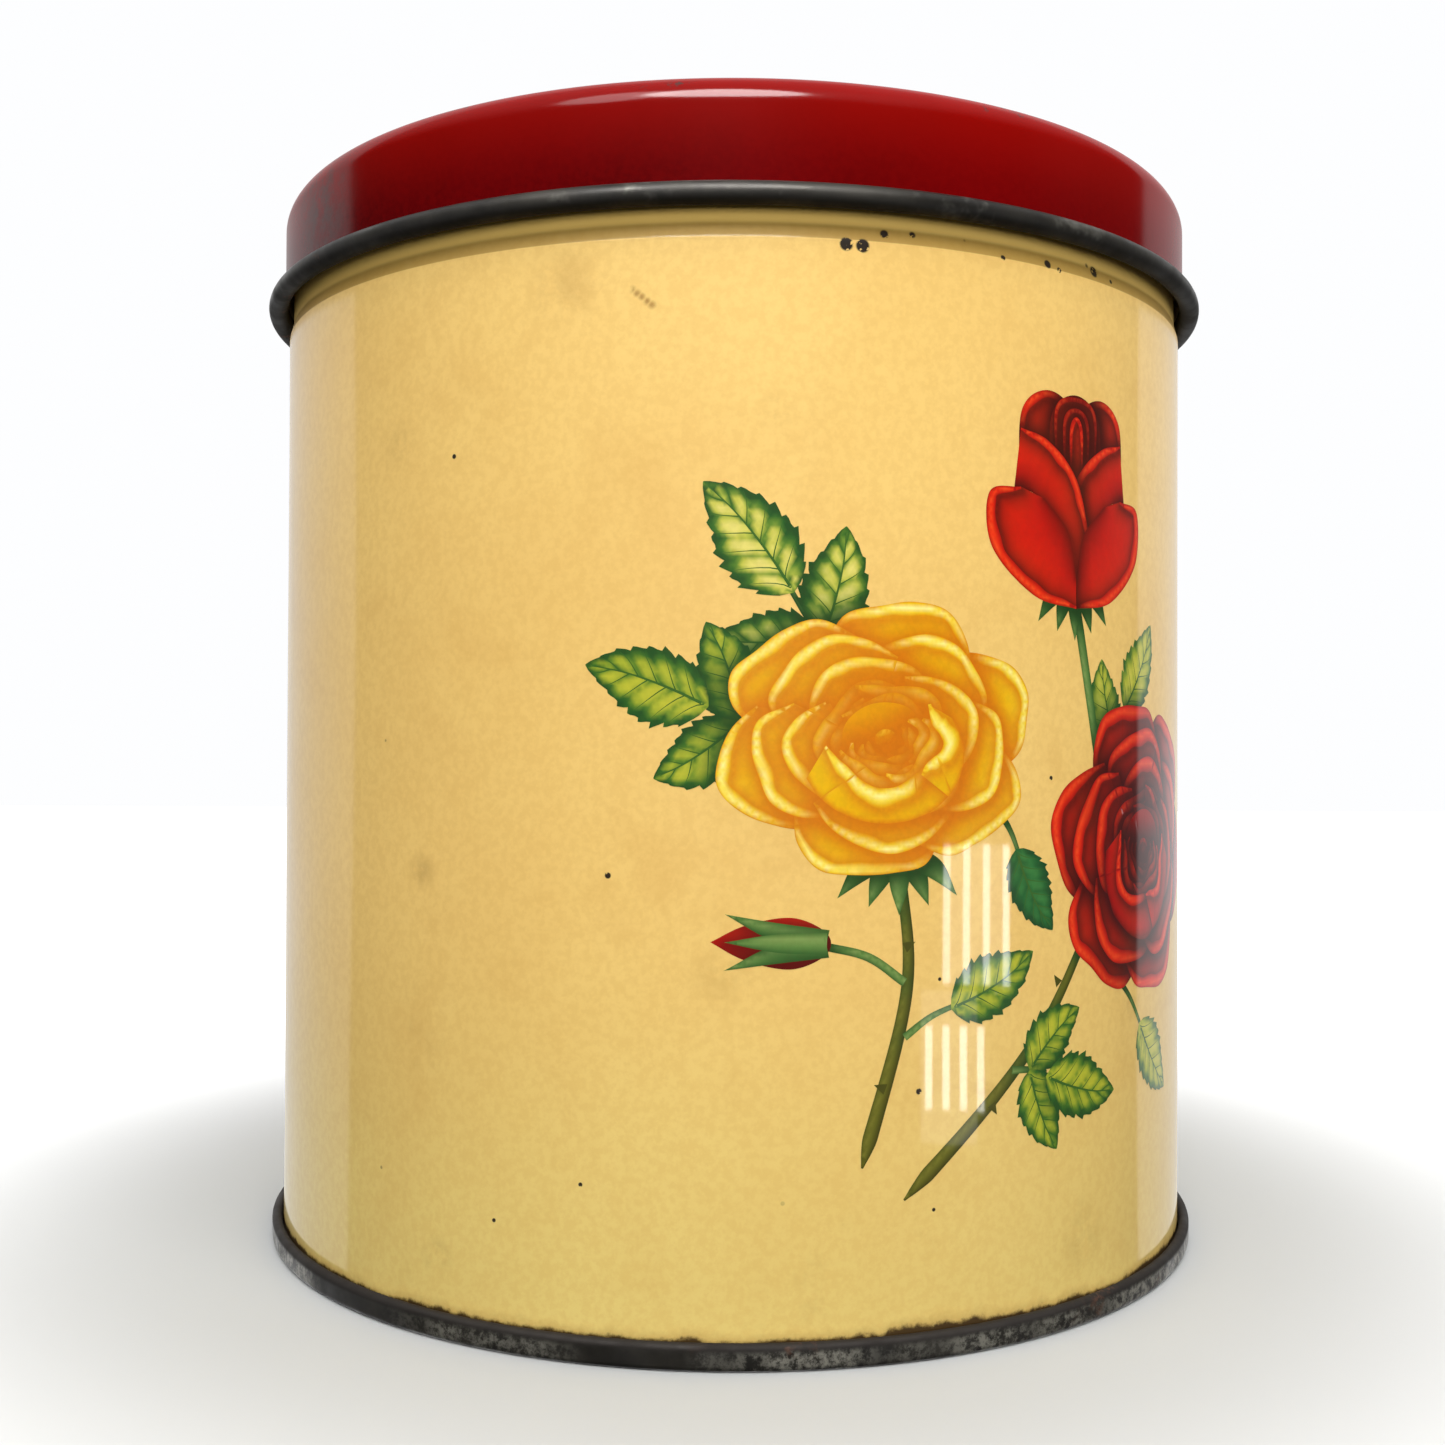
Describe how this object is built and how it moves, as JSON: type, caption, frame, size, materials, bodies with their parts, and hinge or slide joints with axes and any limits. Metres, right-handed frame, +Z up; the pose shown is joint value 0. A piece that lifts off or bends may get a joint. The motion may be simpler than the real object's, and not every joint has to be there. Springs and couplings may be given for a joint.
{
  "type": "coffee tin",
  "caption": "Round tinplate storage tin with a lift-off slip lid, curled lid edge, necked rim and a double-seamed base.",
  "frame": {"origin": "centre of the ring that the tin stands on, at the lowest point of the base seam", "axes": "+Z up along the tin's axis, through the lid; -Y towards the printed front; the lock seam stands at the back, 45 degrees from +X towards +Y"},
  "size_m": [0.119, 0.119, 0.1263],
  "materials": {
    "cream_enamel": "glossy cream-yellow enamel under varnish, aged and finely scratched",
    "red_enamel": "glossy deep red enamel, worn at the edge",
    "bare_tinplate": "bare tinplate, darkened with age, rubbed bright in patches",
    "solder": "dull soft solder",
    "sealing_compound": "dried brown rubber compound"
  },
  "bodies": {
    "can": {"body_shell": "cream_enamel", "base_end": "bare_tinplate", "seam_compound": "sealing_compound", "side_seam_solder": "solder"},
    "lid": {"lid_shell": "red_enamel"}
  },
  "joints": [
    {"name": "lid_lift", "type": "slide", "parent": "can", "child": "lid", "axis": [0, 0, 1], "range_m": [0, 0.12]}
  ]
}
